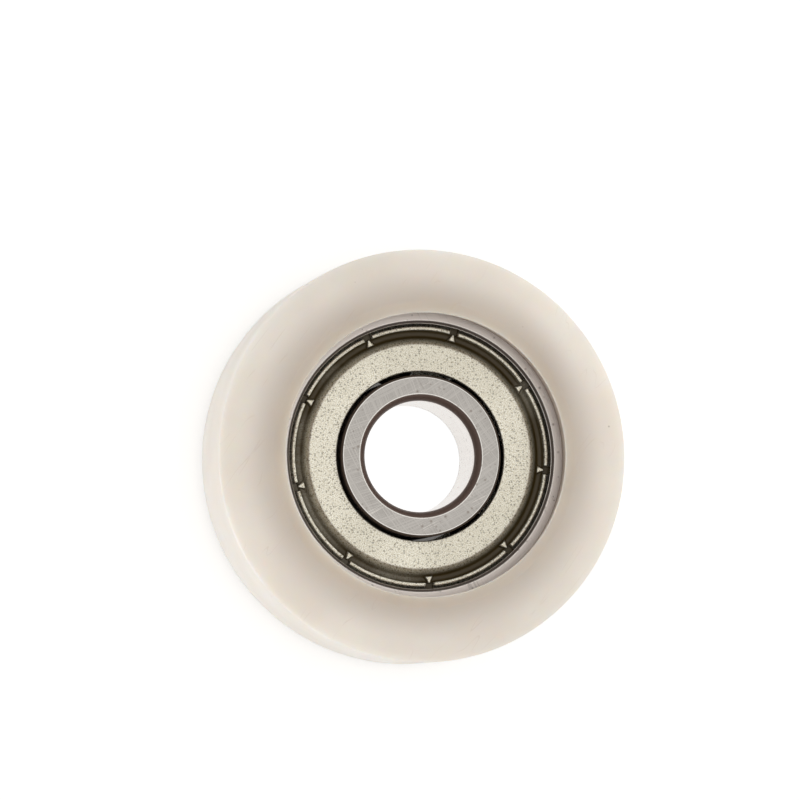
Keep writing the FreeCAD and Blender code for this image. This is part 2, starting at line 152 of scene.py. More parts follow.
def rounded_outline(corners, steps=6):
    """Gives a closed outline through (radius, height, rounding) corners, with an arc at each rounded one."""
    nearly_straight = math.radians(179.5)
    points = []
    for index, (x, y, rounding) in enumerate(corners):
        here = Vector((x, y))
        back = (Vector(corners[index - 1][:2]) - here).normalized()
        ahead = (Vector(corners[(index + 1) % len(corners)][:2]) - here).normalized()
        turn = back.angle(ahead)
        if rounding == 0 or turn > nearly_straight:
            points.append((x, y))
            continue
        centre = here + (back + ahead).normalized() * rounding / math.sin(turn / 2)
        start = here + back * rounding / math.tan(turn / 2) - centre
        sweep = start.angle_signed(here + ahead * rounding / math.tan(turn / 2) - centre)
        for step in range(steps + 1):
            spoke = Matrix.Rotation(-sweep * step / steps, 2) @ start
            points.append(tuple(centre + spoke))
    return points


def arc_points(start, end, radius, steps, bulge=1):
    """Gives the points inside an arc, which bulges to the right of its way (bulge 1) or the left (-1)."""
    first, last = Vector(start), Vector(end)
    half = (last - first) / 2
    to_left = Vector((-half.y, half.x)).normalized()
    centre = first + half + to_left * bulge * math.sqrt(radius ** 2 - half.length_squared)
    spoke = first - centre
    sweep = spoke.angle_signed(last - centre)
    return [tuple(centre + Matrix.Rotation(-sweep * step / steps, 2) @ spoke) for step in range(1, steps)]


def plain_corners(points):
    """Gives corners without rounding."""
    return [(x, y, 0) for x, y in points]


def mirrored(corners):
    """Gives the corners of the lower half, in the order that continues an outline."""
    return [(x, -y, rounding) for x, y, rounding in reversed(corners)]


def finer(points, longest):
    """Divides the outline's long edges. longest gives the most that an edge at this radius may measure."""
    result = []
    for index, here in enumerate(points):
        ahead = points[(index + 1) % len(points)]
        length = math.dist(here, ahead)
        parts = max(1, math.ceil(length / longest(max(here[0], ahead[0]))))
        for part in range(parts):
            share = part / parts
            result.append((here[0] + (ahead[0] - here[0]) * share, here[1] + (ahead[1] - here[1]) * share))
    return result


def full_circle(segments):
    """Gives the angles that divide a circle."""
    return [2 * math.pi * step / segments for step in range(segments)]


def swept_mesh(name, outline, angles, closed, shape=None):
    """Sweeps an outline in millimetres round Z. shape may move each place, given its angle."""
    mesh = bpy.data.meshes.new(name)
    places, faces = [], []
    for angle in angles:
        for radius, height in outline:
            if shape:
                radius, height = shape(radius, height, angle)
            places.append((radius * MM * math.cos(angle), radius * MM * math.sin(angle), height * MM))
    count, turns = len(outline), len(angles)
    for turn in range(turns if closed else turns - 1):
        near, far = turn * count, (turn + 1) % turns * count
        for point in range(count):
            ahead = (point + 1) % count
            faces.append((near + point, far + point, far + ahead, near + ahead))
    mesh.from_pydata(places, [], faces)
    return mesh


def finish_mesh(mesh, sharp=math.radians(50)):
    """Turns the faces outward and shades them smooth, apart from the sharp edges."""
    cleaner = bmesh.new()
    cleaner.from_mesh(mesh)
    bmesh.ops.remove_doubles(cleaner, verts=cleaner.verts, dist=DOUBLES_DISTANCE * MM)
    bmesh.ops.recalc_face_normals(cleaner, faces=cleaner.faces)
    cleaner.to_mesh(mesh)
    cleaner.free()
    mesh.shade_smooth()
    mesh.set_sharp_from_angle(angle=sharp)
    return mesh


def add_piece(mesh, material, body, slot, *nodes):
    """Adds a piece that rides on a body, takes a finish and stands for its nodes."""
    piece = bpy.data.objects.new(mesh.name, mesh)
    bpy.context.scene.collection.objects.link(piece)
    mesh.materials.clear()
    mesh.materials.append(material)
    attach(piece, body)
    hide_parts(*nodes)
    return piece


def turned_piece(name, outline, material, body, slot, node, segments=288):
    """Turns an outline round the axis and adds it as a piece."""
    mesh = finish_mesh(swept_mesh(name, outline, full_circle(segments), closed=True))
    return add_piece(mesh, material, body, slot, node)


# What repeats round the axis

def repeat_round_tree():
    """Repeats a shape round Z, joins the copies where they meet and gives them a material."""
    tree = bpy.data.node_groups.new("repeat_round", "GeometryNodeTree")
    face = tree.interface
    face.new_socket("Geometry", in_out="INPUT", socket_type="NodeSocketGeometry")
    face.new_socket("Count", in_out="INPUT", socket_type="NodeSocketInt")
    face.new_socket("First Angle", in_out="INPUT", socket_type="NodeSocketFloat")
    face.new_socket("Join Distance", in_out="INPUT", socket_type="NodeSocketFloat")
    face.new_socket("Material", in_out="INPUT", socket_type="NodeSocketMaterial")
    face.new_socket("Geometry", in_out="OUTPUT", socket_type="NodeSocketGeometry")
    start, end = tree.nodes.new("NodeGroupInput"), tree.nodes.new("NodeGroupOutput")
    points = tree.nodes.new("GeometryNodePoints")
    place = tree.nodes.new("GeometryNodeInstanceOnPoints")
    index = tree.nodes.new("GeometryNodeInputIndex")
    spacing = add_math(tree, "DIVIDE", math.tau, start.outputs["Count"])
    step = add_math(tree, "MULTIPLY", index.outputs[0], spacing)
    angle = add_math(tree, "ADD", step, start.outputs["First Angle"])
    about_axis = tree.nodes.new("ShaderNodeCombineXYZ")
    realize = tree.nodes.new("GeometryNodeRealizeInstances")
    join = tree.nodes.new("GeometryNodeMergeByDistance")
    dress = tree.nodes.new("GeometryNodeSetMaterial")
    link = tree.links.new
    link(start.outputs["Count"], points.inputs["Count"])
    link(points.outputs[0], place.inputs["Points"])
    link(start.outputs["Geometry"], place.inputs["Instance"])
    link(angle, about_axis.inputs["Z"])
    link(about_axis.outputs[0], place.inputs["Rotation"])
    link(place.outputs[0], realize.inputs[0])
    link(realize.outputs[0], join.inputs["Geometry"])
    link(start.outputs["Join Distance"], join.inputs["Distance"])
    link(join.outputs[0], dress.inputs["Geometry"])
    link(start.outputs["Material"], dress.inputs["Material"])
    link(dress.outputs[0], end.inputs[0])
    return tree


def repeated_mesh(name, mesh, tree, **values):
    """Repeats a mesh with the tree and gives the result as a plain mesh."""
    stand = bpy.data.objects.new(f"{name}_one", mesh)
    bpy.context.scene.collection.objects.link(stand)
    modifier = stand.modifiers.new("repeat", "NODES")
    modifier.node_group = tree
    sockets = {item.name: item.identifier for item in tree.interface.items_tree if item.in_out == "INPUT"}
    for label, value in values.items():
        modifier[sockets[label.replace("_", " ")]] = value
    bpy.context.view_layer.update()
    depsgraph = bpy.context.evaluated_depsgraph_get()
    result = bpy.data.meshes.new_from_object(stand.evaluated_get(depsgraph), depsgraph=depsgraph)
    result.name = name
    stand.modifiers.clear()
    bpy.data.objects.remove(stand)
    return result


# Sums, masks and colours

def linear(red, green, blue):
    """Gives the linear colour of an sRGB colour from 0 to 255."""
    shares = [value / 255 for value in (red, green, blue)]
    return tuple(s / 12.92 if s <= 0.04045 else ((s + 0.055) / 1.055) ** 2.4 for s in shares) + (1,)


def feed(tree, socket, value):
    """Links a socket to another node's output, or sets it."""
    if isinstance(value, bpy.types.NodeSocket):
        tree.links.new(value, socket)
    else:
        socket.default_value = value


def add_math(tree, operation, *values, clamp=False):
    """Adds one sum."""
    node = tree.nodes.new("ShaderNodeMath")
    node.operation = operation
    node.use_clamp = clamp
    for socket, value in zip(node.inputs, values):
        feed(tree, socket, value)
    return node.outputs[0]


def times(tree, first, *others):
    """Multiplies values."""
    for other in others:
        first = add_math(tree, "MULTIPLY", first, other)
    return first


def largest(tree, first, *others):
    """Gives the largest of the values."""
    for other in others:
        first = add_math(tree, "MAXIMUM", first, other)
    return first


def one_less(tree, value, share=1.0):
    """Gives 1 less a share of the value."""
    return add_math(tree, "SUBTRACT", 1.0, times(tree, value, share))


def add_ramp(tree, value, low, high, low_result=0.0, high_result=1.0):
    """Maps a value smoothly from one range to another."""
    node = tree.nodes.new("ShaderNodeMapRange")
    node.interpolation_type = "SMOOTHSTEP"
    for socket, number in zip(node.inputs[:5], (value, low, high, low_result, high_result)):
        feed(tree, socket, number)
    return node.outputs[0]


def add_step(tree, length, low, high, low_result=0.0, high_result=1.0):
    """Maps a length smoothly between two limits in millimetres."""
    return add_ramp(tree, length, low * MM, high * MM, low_result, high_result)


def add_mix(tree, share, first, second):
    """Mixes two colours."""
    node = tree.nodes.new("ShaderNodeMix")
    node.data_type = "RGBA"
    feed(tree, node.inputs[0], share)
    feed(tree, node.inputs[6], first)
    feed(tree, node.inputs[7], second)
    return node.outputs[2]


def lay_colours(tree, colour, *layers):
    """Lays each layer of (mask, share, colour) over those before it."""
    for mask, share, layer_colour in layers:
        colour = add_mix(tree, times(tree, mask, share), colour, linear(*layer_colour))
    return colour


def add_noise(tree, place, scale, detail=2.0, roughness=0.5):
    """Adds soft noise about 0.5."""
    node = tree.nodes.new("ShaderNodeTexNoise")
    feed(tree, node.inputs["Vector"], place)
    feed(tree, node.inputs["Scale"], scale)
    feed(tree, node.inputs["Detail"], detail)
    feed(tree, node.inputs["Roughness"], roughness)
    return node.outputs["Fac"]


def object_place(tree):
    """Gives the place on the object."""
    return tree.nodes.new("ShaderNodeTexCoord").outputs["Object"]


def split_place(tree, place):
    """Gives a place's three coordinates."""
    apart = tree.nodes.new("ShaderNodeSeparateXYZ")
    tree.links.new(place, apart.inputs[0])
    return apart.outputs


def axis_radius(tree, place):
    """Gives a place's distance from the wheel's axis."""
    x, y, _ = split_place(tree, place)
    return add_math(tree, "SQRT", add_math(tree, "ADD", times(tree, x, x), times(tree, y, y)))


def face_height(tree, place):
    """Gives a place's distance from the wheel's middle plane."""
    return add_math(tree, "ABSOLUTE", split_place(tree, place)[2])


# Effects that several finishes share

def new_group(name, inputs, output):
    """Starts a group with named number inputs and one output."""
    tree = bpy.data.node_groups.new(name, "ShaderNodeTree")
    for label, value in inputs.items():
        socket = tree.interface.new_socket(label, in_out="INPUT", socket_type="NodeSocketFloat")
        socket.default_value = value
    tree.interface.new_socket(output, in_out="OUTPUT", socket_type="NodeSocketFloat")
    given, result = tree.nodes.new("NodeGroupInput"), tree.nodes.new("NodeGroupOutput")
    return tree, given.outputs, result.inputs[output]


def turning_marks_group():
    """Fine lines round the axis, as a lathe or a grinding wheel leaves them."""
    tree, given, result = new_group("turning_marks", {"Lines": 9000.0, "Wander": 0.15}, "Value")
    place = object_place(tree)
    x, y, z = split_place(tree, place)
    angle = add_math(tree, "ARCTAN2", y, x)
    across = tree.nodes.new("ShaderNodeCombineXYZ")
    feed(tree, across.inputs[0], times(tree, axis_radius(tree, place), given["Lines"]))
    feed(tree, across.inputs[1], times(tree, z, given["Lines"]))
    feed(tree, across.inputs[2], times(tree, angle, given["Wander"]))
    tree.links.new(add_noise(tree, across.outputs[0], 1.0, 3.0, 0.6), result)
    return tree


def grinding_arcs_group():
    """Fine crossing arcs, as a face grinder leaves them: rings about two points off the axis."""
    centres = ((0.021, 0.013, 0.0), (-0.012, 0.024, 0.0))
    wander_scale = 150.0
    tree, given, result = new_group("grinding_arcs", {"Lines": 9000.0}, "Value")
    place = object_place(tree)
    wander = times(tree, axis_radius(tree, place), wander_scale)
    arcs = []
    for centre in centres:
        reach = tree.nodes.new("ShaderNodeVectorMath")
        reach.operation = "DISTANCE"
        tree.links.new(place, reach.inputs[0])
        reach.inputs[1].default_value = centre
        along = tree.nodes.new("ShaderNodeCombineXYZ")
        feed(tree, along.inputs[0], times(tree, reach.outputs["Value"], given["Lines"]))
        feed(tree, along.inputs[1], wander)
        arcs.append(add_noise(tree, along.outputs[0], 1.0, 3.0, 0.6))
    tree.links.new(largest(tree, *arcs), result)
    return tree


def band_group():
    """A mask that is 1 between two radii and fades over a width on each side."""
    tree, given, result = new_group("round_band", {"From": 0.0, "To": 0.01, "Fade": 0.0001}, "Mask")
    radius = axis_radius(tree, object_place(tree))
    start = add_math(tree, "SUBTRACT", given["From"], given["Fade"])
    end = add_math(tree, "ADD", given["To"], given["Fade"])
    rise = add_ramp(tree, radius, start, given["From"])
    fall = add_ramp(tree, radius, given["To"], end, 1.0, 0.0)
    tree.links.new(times(tree, rise, fall), result)
    return tree


def speck_group():
    """Small scattered spots: one in each cell that is chosen, of its own size."""
    smallest = 0.3
    tree, given, result = new_group("specks", {"Scale": 3000.0, "Share": 0.1, "Size": 0.2}, "Mask")
    cells = tree.nodes.new("ShaderNodeTexVoronoi")
    feed(tree, cells.inputs["Vector"], object_place(tree))
    feed(tree, cells.inputs["Scale"], given["Scale"])
    chance = tree.nodes.new("ShaderNodeSeparateColor")
    tree.links.new(cells.outputs["Color"], chance.inputs[0])
    chosen = add_math(tree, "LESS_THAN", chance.outputs[0], given["Share"])
    reach = times(tree, given["Size"], add_math(tree, "ADD", chance.outputs[1], smallest))
    spot = add_ramp(tree, cells.outputs["Distance"], 0.0, reach, 1.0, 0.0)
    tree.links.new(times(tree, spot, chosen), result)
    return tree


def scratch_group():
    """Thin straight scratches in patches, where a stretched noise crosses its middle value."""
    lengthening, patch_scale = 0.04, 420.0
    tree, given, result = new_group("scratches", {"Scale": 500.0, "Turn": 0.0, "Width": 0.01}, "Mask")
    place = object_place(tree)
    spin = tree.nodes.new("ShaderNodeVectorRotate")
    spin.rotation_type = "Z_AXIS"
    feed(tree, spin.inputs["Vector"], place)
    feed(tree, spin.inputs["Angle"], given["Turn"])
    stretch = tree.nodes.new("ShaderNodeVectorMath")
    stretch.operation = "MULTIPLY"
    tree.links.new(spin.outputs[0], stretch.inputs[0])
    stretch.inputs[1].default_value = (1.0, lengthening, 1.0)
    wave = add_noise(tree, stretch.outputs[0], given["Scale"], 1.0, 0.4)
    off_middle = add_math(tree, "ABSOLUTE", add_math(tree, "SUBTRACT", wave, 0.5))
    line = add_ramp(tree, off_middle, 0.0, given["Width"], 1.0, 0.0)
    patches = add_ramp(tree, add_noise(tree, place, patch_scale), 0.5, 0.62)
    tree.links.new(times(tree, line, patches), result)
    return tree


def place_group(tree, group, **values):
    """Places a group in a material with its own values."""
    node = tree.nodes.new("ShaderNodeGroup")
    node.node_tree = group
    for label, value in values.items():
        feed(tree, node.inputs[label], value)
    return node.outputs[0]


def place_band(tree, groups, start, end, fade=0.02):
    """Places a mask between two radii in millimetres."""
    return place_group(tree, groups["round_band"], From=start * MM, To=end * MM, Fade=fade * MM)


# Finishes

def new_material(name, **values):
    """Starts a material and sets the constants on its shader."""
    material = bpy.data.materials.new(name)
    material.use_nodes = True
    shader = material.node_tree.nodes["Principled BSDF"]
    for label, value in values.items():
        shader.inputs[label.replace("_", " ")].default_value = value
    return material, material.node_tree, shader


def add_bump(tree, shader, height, depth, strength=1.0):
    """Feeds the shader's normal from a height between 0 and 1 that is depth millimetres deep."""
    bump = tree.nodes.new("ShaderNodeBump")
    bump.inputs["Distance"].default_value = depth * MM
    bump.inputs["Strength"].default_value = strength
    tree.links.new(height, bump.inputs["Height"])
    tree.links.new(bump.outputs[0], shader.inputs["Normal"])


def hub_grime_and_shade(tree, place):
    """A mask for grime and painted shade on the wall of the hub's hole, thinner towards its top."""
    radius, height = axis_radius(tree, place), face_height(tree, place)
    wall = add_step(tree, radius, HOLE_FOOT, HOLE_FOOT + 0.03, 1.0, 0.0)
    below_edge = add_step(tree, height, HUB_END - 0.12, HUB_END - 0.03, 1.0, 0.0)
    thinning = add_step(tree, height, FACE + 0.1, HUB_END - 0.3, 1.0, 0.45)
    return times(tree, wall, below_edge, thinning)


def nylon_material(groups):
    """White natural nylon: waxy, slightly see-through, with faint turning lines and a few dark specks,
    painted shade towards the hub, and grime with painted shade on the wall of the hub's hole.
    """
    material, tree, shader = new_material(
        "white_nylon", IOR=1.53, Subsurface_Scale=2.2 * MM, Subsurface_Radius=(1.0, 0.8, 0.6),
    )
    place = object_place(tree)
    lines = place_group(tree, groups["turning_marks"], Lines=7000.0, Wander=0.3)
    clouds = add_noise(tree, place, 160.0, 3.0)
    specks = place_group(tree, groups["specks"], Scale=1400.0, Share=0.02, Size=0.12)
    scratches = place_group(tree, groups["scratches"], Scale=900.0, Turn=0.6, Width=0.012)
    # Painted shade: the nylon darkens towards the hub, beside the bearing.
    hub_shade = add_step(tree, axis_radius(tree, place), HOLE_RADIUS, BEARING_RADIUS + 2.6, 1.0, 0.0)
    grime_and_shade = hub_grime_and_shade(tree, place)
    colour = lay_colours(
        tree, add_mix(tree, hub_shade, linear(*NYLON_WHITE), linear(*NYLON_SHADE_BY_HUB)),
        (add_ramp(tree, clouds, 0.3, 0.7), 0.35, NYLON_CLOUD),
        (scratches, 0.25, NYLON_SCRATCH),
        (specks, 0.6, NYLON_SPECK),
        # Grime and painted shade on the wall of the hub's hole, darkest at its foot.
        (grime_and_shade, 1.0, HUB_GRIME_AND_SHADE),
    )
    tree.links.new(colour, shader.inputs["Base Color"])
    tree.links.new(one_less(tree, grime_and_shade), shader.inputs["Subsurface Weight"])
    tree.links.new(add_ramp(tree, lines, 0.2, 0.8, 0.42, 0.55), shader.inputs["Roughness"])
    bumps = add_math(tree, "ADD", times(tree, lines, 0.5), times(tree, clouds, 0.5))
    add_bump(tree, shader, bumps, 0.02, 0.35)
    return material


def ring_material(groups):
    """Ring steel: ground faces with light scratches and oily specks, brown scale on the bore's chamfers, the
    same dull brown below the faces inside the bearing and a dark mouth bevel; painted shade on the inner
    ring's face and outer corner, painted light on the outer ring's face, and painted highlights at the
    face's edges.
    """
    material, tree, shader = new_material("ground_ring_steel")
    inner_face_end, outer_face_start, bore_wall_end = (5.9, 6.2), (9.8, 9.85), (4.3, 4.5)
    place = object_place(tree)
    radius, height = axis_radius(tree, place), face_height(tree, place)
    lines = place_group(tree, groups["turning_marks"], Lines=22000.0, Wander=0.5)
    arcs = place_group(tree, groups["grinding_arcs"], Lines=9000.0)
    specks = place_group(tree, groups["specks"], Scale=3000.0, Share=0.25, Size=0.4)
    light_marks = place_group(tree, groups["scratches"], Scale=1900.0, Turn=1.1, Width=0.02)
    dark_marks = place_group(tree, groups["scratches"], Scale=2300.0, Turn=-0.5, Width=0.02)
    on_face = add_step(tree, height, FACE - 0.02, FACE - 0.005)
    inner_face = times(tree, add_step(tree, radius, *inner_face_end, 1.0, 0.0), on_face)
    outer_face = times(tree, add_step(tree, radius, *outer_face_start), on_face)
    outer_edge = place_band(tree, groups, INNER_SHOULDER - 0.19, INNER_SHOULDER - 0.155)
    bore_edge = place_band(tree, groups, BORE_RADIUS + 0.48, BORE_RADIUS + 0.51)
    chamfer = place_band(tree, groups, BORE_RADIUS + 0.03, BORE_RADIUS + 0.44)
    corner = place_band(tree, groups, INNER_SHOULDER - 0.13, INNER_SHOULDER + 0.2, fade=0.03)
    mouth = place_band(tree, groups, MOUTH_RADIUS + 0.04, MOUTH_RADIUS + 0.19)
    below_face = add_step(tree, height, FACE - 0.6, FACE - 0.5, 1.0, 0.0)
    inside = times(tree, below_face, add_step(tree, radius, *bore_wall_end))
    line_mix = add_ramp(tree, lines, 0.3, 0.7)
    colour = lay_colours(
        tree, add_mix(tree, line_mix, linear(*RING_LINE_DARK), linear(*RING_LINE_BRIGHT)),
        # Painted shade and painted light: the same ground steel is painted darker on the inner ring's face,
        # and paler and duller on the outer ring's face where its reflection is dark.
        (inner_face, 0.9, INNER_FACE_PAINTED_SHADE),
        (outer_face, 0.5, OUTER_FACE_PAINTED_LIGHT),
        (add_ramp(tree, arcs, 0.42, 0.66), 0.16, GROUND_ARC),
        # Painted highlights: thin bright lines at the outer edge of the inner ring's face and round the
        # bore's chamfer.
        (largest(tree, outer_edge, bore_edge), 0.6, EDGE_GLINT),
        (light_marks, 0.3, LIGHT_SCRATCH),
        (dark_marks, 0.3, DARK_SCRATCH),
        (specks, 0.6, OIL_SPECK),
        # Brown scale on the bore's chamfers; the same dull brown covers the rings below their faces, inside
        # the bearing.
        (largest(tree, chamfer, inside), 1.0, BROWN_SCALE),
        # Painted shade on the inner ring's rounded outer corner and on its shoulder beside the shield.
        (corner, 1.0, CORNER_PAINTED_SHADE),
        (mouth, 1.0, DARK_MOUTH),
    )
    tree.links.new(colour, shader.inputs["Base Color"])
    dull = largest(tree, outer_face, chamfer, inside, corner, mouth)
    tree.links.new(one_less(tree, dull, 0.55), shader.inputs["Metallic"])
    rough = add_ramp(tree, lines, 0.25, 0.75, 0.16, 0.26)
    tree.links.new(add_math(tree, "ADD", rough, times(tree, dull, 0.22)), shader.inputs["Roughness"])
    add_bump(tree, shader, lines, 0.004, 0.5)
    return material


def valley_oil_and_shade(tree, groups, place):
    """A mask for the oil and painted shade in the shield's valley, which reaches higher on the slope than on
    the lip.
    """
    slope_top, rim, slope_foot = 8.3, 9.8, (8.6, 8.75)
    slope_reach, lip_reach = (VALLEY_TOP + 0.65) * MM, (VALLEY_TOP + 0.36) * MM
    radius, height = axis_radius(tree, place), face_height(tree, place)
    band = place_band(tree, groups, slope_top, rim, fade=0.2)
    reach = add_step(tree, radius, *slope_foot, slope_reach, lip_reach)
    low = add_ramp(tree, height, (VALLEY_TOP + 0.06) * MM, reach, 1.0, 0.0)
    seep = add_ramp(tree, add_noise(tree, place, 170.0, 4.0), 0.35, 0.6, 0.8, 1.05)
    return add_math(tree, "MULTIPLY", times(tree, band, low), seep, clamp=True)


def shield_material(groups):
    """Pressed bright steel sheet with a pebbled, pitted grain, and dark oil with painted shade in its
    valley.
    """
    material, tree, shader = new_material("pressed_shield_steel")
    place = object_place(tree)
    grain = add_noise(tree, place, 12500.0, 2.0, 0.7)
    clouds = add_noise(tree, place, 190.0, 2.0)
    pits = place_group(tree, groups["specks"], Scale=6600.0, Share=0.85, Size=0.56)
    lines = place_group(tree, groups["turning_marks"], Lines=5000.0, Wander=0.6)
    oil_and_shade = valley_oil_and_shade(tree, groups, place)
    grain_mix = add_ramp(tree, grain, 0.43, 0.57)
    colour = lay_colours(
        tree, add_mix(tree, grain_mix, linear(*SHEET_GRAIN_DARK), linear(*SHEET_GRAIN_BRIGHT)),
        (add_ramp(tree, clouds, 0.35, 0.65), 0.16, SHEET_CLOUD),
        (pits, 0.85, SHEET_PIT),
        # Oil with painted shade: the valley under the lip and the foot of the slope are painted dark.
        (oil_and_shade, 1.0, VALLEY_OIL_AND_SHADE),
    )
    tree.links.new(colour, shader.inputs["Base Color"])
    tree.links.new(one_less(tree, oil_and_shade, 0.86), shader.inputs["Metallic"])
    tree.links.new(add_ramp(tree, grain, 0.2, 0.8, 0.3, 0.5), shader.inputs["Roughness"])
    bumps = add_math(tree, "ADD", times(tree, grain, 0.8), times(tree, lines, 0.2))
    pitted = add_math(tree, "SUBTRACT", bumps, times(tree, pits, 0.3))
    add_bump(tree, shader, pitted, 0.012, 0.6)
    return material


def cage_material():
    """Plain pressed steel strip with a thin film of grease."""
    material, tree, shader = new_material("pressed_cage_steel", Metallic=1.0, Coat_Roughness=0.2)
    place = object_place(tree)
    grain = add_noise(tree, place, 2500.0, 3.0)
    film = add_ramp(tree, add_noise(tree, place, 300.0), 0.4, 0.65)
    colour = add_mix(tree, grain, linear(*CAGE_DARK), linear(*CAGE_BRIGHT))
    tree.links.new(colour, shader.inputs["Base Color"])
    tree.links.new(add_ramp(tree, grain, 0.2, 0.8, 0.32, 0.5), shader.inputs["Roughness"])
    tree.links.new(film, shader.inputs["Coat Weight"])
    add_bump(tree, shader, grain, 0.01, 0.4)
    return material


def rivet_material():
    """Softer, darker steel of the rivets, with worked marks on their heads."""
    material, tree, shader = new_material("rivet_steel", Metallic=1.0)
    marks = add_noise(tree, object_place(tree), 6000.0, 2.0)
    colour = add_mix(tree, marks, linear(*RIVET_DARK), linear(*RIVET_BRIGHT))
    tree.links.new(colour, shader.inputs["Base Color"])
    tree.links.new(add_ramp(tree, marks, 0.2, 0.8, 0.3, 0.55), shader.inputs["Roughness"])
    add_bump(tree, shader, marks, 0.01, 0.5)
    return material


def ball_material():
    """Polished ball steel with a trace of grease."""
    material, tree, shader = new_material("polished_ball_steel", Metallic=1.0)
    film = add_noise(tree, object_place(tree), 500.0, 2.0)
    colour = add_mix(tree, film, linear(*BALL_DARK), linear(*BALL_BRIGHT))
    tree.links.new(colour, shader.inputs["Base Color"])
    tree.links.new(add_ramp(tree, film, 0.35, 0.7, 0.05, 0.16), shader.inputs["Roughness"])
    return material


# Pieces

def build_nylon_wheel(material):
    """The moulded wheel: plain tread, crowned side faces, a flat land and the lips over the bearing."""
    land_edge = (HOLE_RADIUS + HUB_LAND, HUB_END)
    crown = arc_points((WHEEL_RADIUS, RIM_END), land_edge, CROWN_RADIUS, 12)
    lip_face = FACE + MOULD_GAP
    upper = [(WHEEL_RADIUS, RIM_END, RIM_EDGE)] + plain_corners(crown) + [
        (*land_edge, LAND_EDGE),
        (HOLE_TOP, HUB_END, HOLE_TOP_EDGE),
        (HOLE_FOOT, lip_face, HOLE_FOOT_EDGE),
        (BEARING_RADIUS + MOULD_GAP, lip_face, RING_CORNER + MOULD_GAP),
    ]
    outline = finer(rounded_outline(upper + mirrored(upper)), lambda radius: 1.2)
    return turned_piece("moulded_wheel", outline, material, "wheel", "nylon", "nylon_wheel", segments=320)


def build_outer_ring(material):
    """The ring that the nylon holds, with its bevelled opening, shield groove, shoulders and raceway."""
    land_end = FACE - MOUTH_BEVEL - MOUTH_LAND
    seat = VALLEY_TOP - SHEET
    bottom = PITCH_RADIUS + BALL_RADIUS + BALL_CLEARANCE
    race_edge = math.sqrt(RACE_RADIUS ** 2 - (OUTER_SHOULDER - bottom + RACE_RADIUS) ** 2)
    race = arc_points((OUTER_SHOULDER, race_edge), (OUTER_SHOULDER, -race_edge), RACE_RADIUS, 24, bulge=-1)
    upper = [
        (BEARING_RADIUS, FACE, RING_CORNER),
        (MOUTH_RADIUS + MOUTH_BEVEL, FACE, 0.04),
        (MOUTH_RADIUS, FACE - MOUTH_BEVEL, 0.03),
        (MOUTH_RADIUS, land_end, 0.02),
        (GROOVE_RADIUS, land_end - GROOVE_LIP, 0.02),
        (GROOVE_RADIUS, seat, 0.03),
        (OUTER_SHOULDER, seat, 0.05),
        (OUTER_SHOULDER, race_edge, 0.03),
    ]
    corners = upper + plain_corners(race) + mirrored(upper)
    outline = finer(rounded_outline(corners), lambda radius: 1.0)
    return turned_piece("outer_race_ring", outline, material, "wheel", "ring_steel", "outer_ring")


def build_inner_ring(material):
    """The ring on the axle, with rounded bore mouths, a fine corner at each face and the inner raceway."""
    bottom = PITCH_RADIUS - BALL_RADIUS - BALL_CLEARANCE
    race_edge = math.sqrt(RACE_RADIUS ** 2 - (bottom + RACE_RADIUS - INNER_SHOULDER) ** 2)
    race = arc_points((INNER_SHOULDER, -race_edge), (INNER_SHOULDER, race_edge), RACE_RADIUS, 24, bulge=-1)
    mouth_edge = BORE_RADIUS + BORE_MOUTH_WIDTH
    mouth_end = (BORE_RADIUS, FACE - BORE_MOUTH_DEPTH)
    mouth = arc_points((mouth_edge, FACE), mouth_end, BORE_MOUTH_ARC, 8)
    upper = [
        (INNER_SHOULDER, race_edge, 0.03),
        (INNER_SHOULDER, FACE, INNER_CORNER),
        (mouth_edge, FACE, 0.03),
    ] + plain_corners(mouth + [mouth_end])
    corners = upper + mirrored(upper) + plain_corners(race)
    outline = finer(rounded_outline(corners), lambda radius: 1.0)
    return turned_piece("inner_race_ring", outline, material, "inner_ring", "ring_steel", "inner_ring")


def shield_outline():
    """The shield's section: flat, slope, valley and hemmed lip, with the sheet's thickness."""
    slope_top, slope_foot = 8.156, 8.697
    back_slope_top, back_slope_foot = 8.045, 8.585
    back, seat = SHIELD_TOP - SHEET, VALLEY_TOP - SHEET
    fine_from, fine_edge, plain_edge = 8.4, 0.07, 0.4
    corners = [
        (SHIELD_HOLE, back, 0.02),
        (back_slope_top, back, 0.1),
        (back_slope_foot, seat, 0.5),
        (SHIELD_RIM, seat, 0.03),
        (SHIELD_RIM, seat + 0.35, 0.08),
        (LIP_OUTSIDE, SHIELD_TOP - 0.14, 0.05),
        (LIP_OUTSIDE, SHIELD_TOP, 0.11),
        (LIP_INSIDE, SHIELD_TOP, 0.11),
        (LIP_INSIDE, VALLEY_TOP, 0.22),
        (slope_foot, VALLEY_TOP, 0.2),
        (slope_top, SHIELD_TOP, 0.35),
        (SHIELD_HOLE, SHIELD_TOP, 0.12),
    ]
    return finer(rounded_outline(corners), lambda radius: fine_edge if radius > fine_from else plain_edge)


def smooth_step(low, high, value):
    """Rises smoothly from 0 at low to 1 at high."""
    share = min(max((value - low) / (high - low), 0), 1)
    return share * share * (3 - 2 * share)


